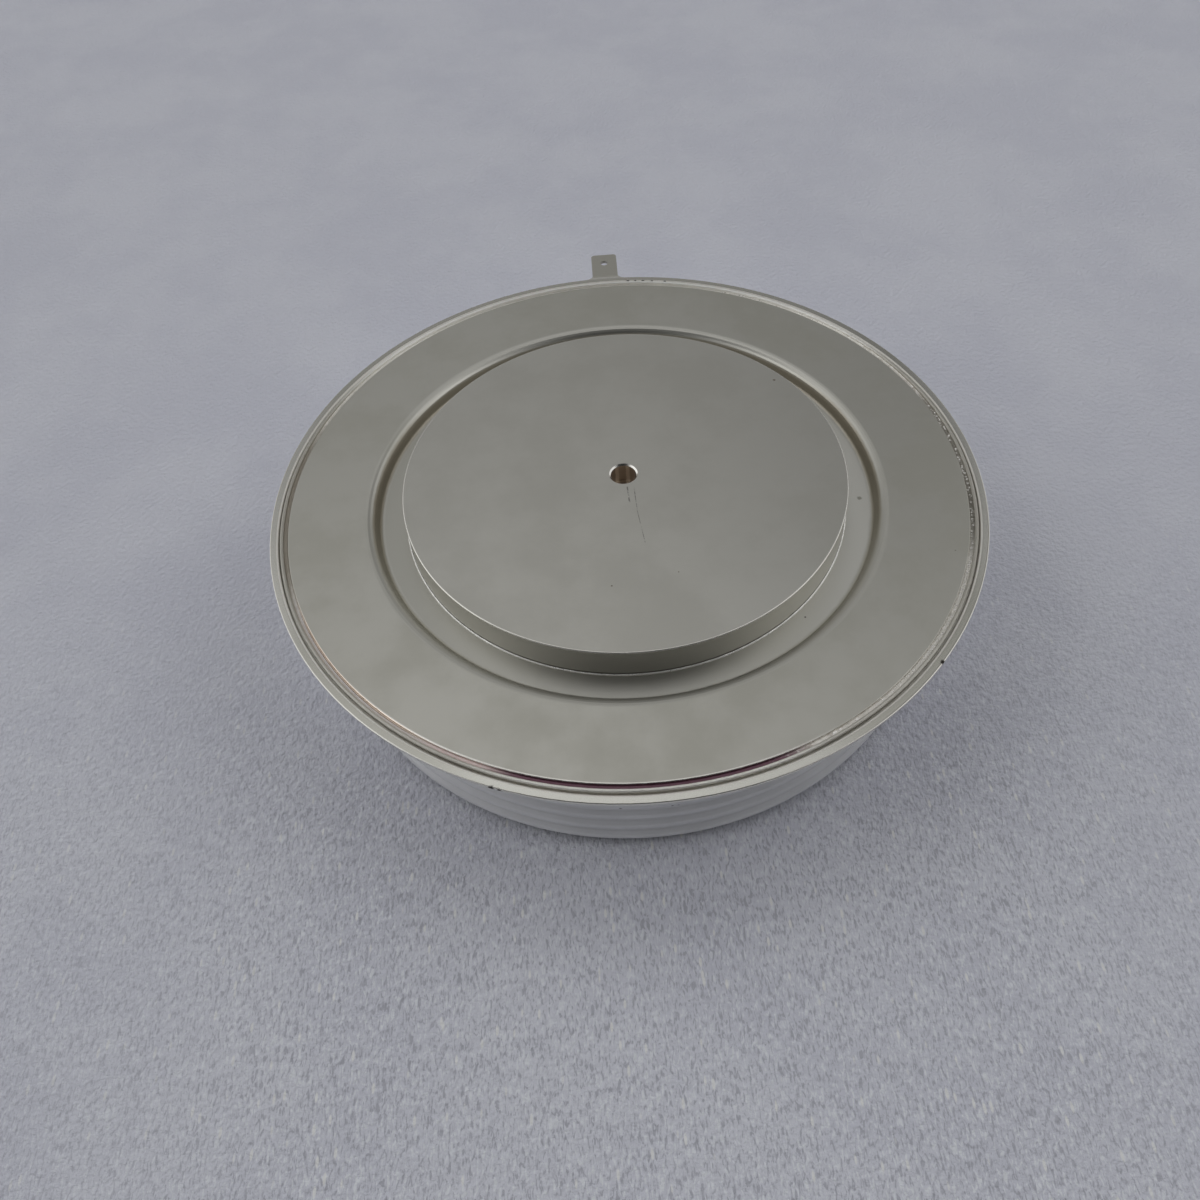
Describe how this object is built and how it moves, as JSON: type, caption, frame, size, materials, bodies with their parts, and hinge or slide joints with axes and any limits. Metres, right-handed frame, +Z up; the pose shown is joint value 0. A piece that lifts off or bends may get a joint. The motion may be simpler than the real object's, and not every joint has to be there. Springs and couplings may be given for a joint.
{
  "type": "disc thyristor",
  "caption": "Round flat power thyristor in a ribbed ceramic case, clamped between its raised pole faces, with push-on blades for the gate and the cathode lead.",
  "frame": {"origin": "centre of the anode pole's locating hole, at the anode face that the housing stands on", "axes": "+Z up through both poles to the cathode face, +Y towards the cathode tab and the gate blade"},
  "size_m": [0.112, 0.1195, 0.0285],
  "materials": {
    "cathode_pole": "satin nickel plate on copper",
    "cathode_lid": "satin nickel plate on copper sheet",
    "weld_flange": "satin nickel plate on copper sheet",
    "ceramic_ring": "white glazed alumina",
    "anode_flange": "satin nickel plate",
    "anode_pole": "satin nickel plate on copper",
    "anode_plate": "lapped molybdenum",
    "silicon_wafer": "polished silicon",
    "edge_seal": "cast silicone rubber",
    "contact_foil": "soft silver foil",
    "cathode_plate": "lapped molybdenum",
    "locating_ring": "moulded plastic",
    "gate_cup": "moulded plastic",
    "gate_spring": "drawn spring wire",
    "gate_pin": "turned",
    "gate_wire": "silvered wire",
    "wire_sleeve": "extruded sleeve",
    "gate_tube": "nickel plate",
    "gate_collar": "nickel plate",
    "gate_blade": "nickel plate"
  },
  "bodies": {
    "root": {"cathode_pole": "cathode_pole", "cathode_lid": "cathode_lid", "weld_flange": "weld_flange", "ceramic_ring": "ceramic_ring", "anode_flange": "anode_flange", "anode_pole": "anode_pole", "anode_plate": "anode_plate", "silicon_wafer": "silicon_wafer", "edge_seal": "edge_seal", "contact_foil": "contact_foil", "cathode_plate": "cathode_plate", "locating_ring": "locating_ring", "gate_cup": "gate_cup", "gate_spring": "gate_spring", "gate_pin": "gate_pin", "gate_wire": "gate_wire", "wire_sleeve": "wire_sleeve", "gate_tube": "gate_tube", "gate_collar": "gate_collar", "gate_blade": "gate_blade"}
  },
  "joints": []
}
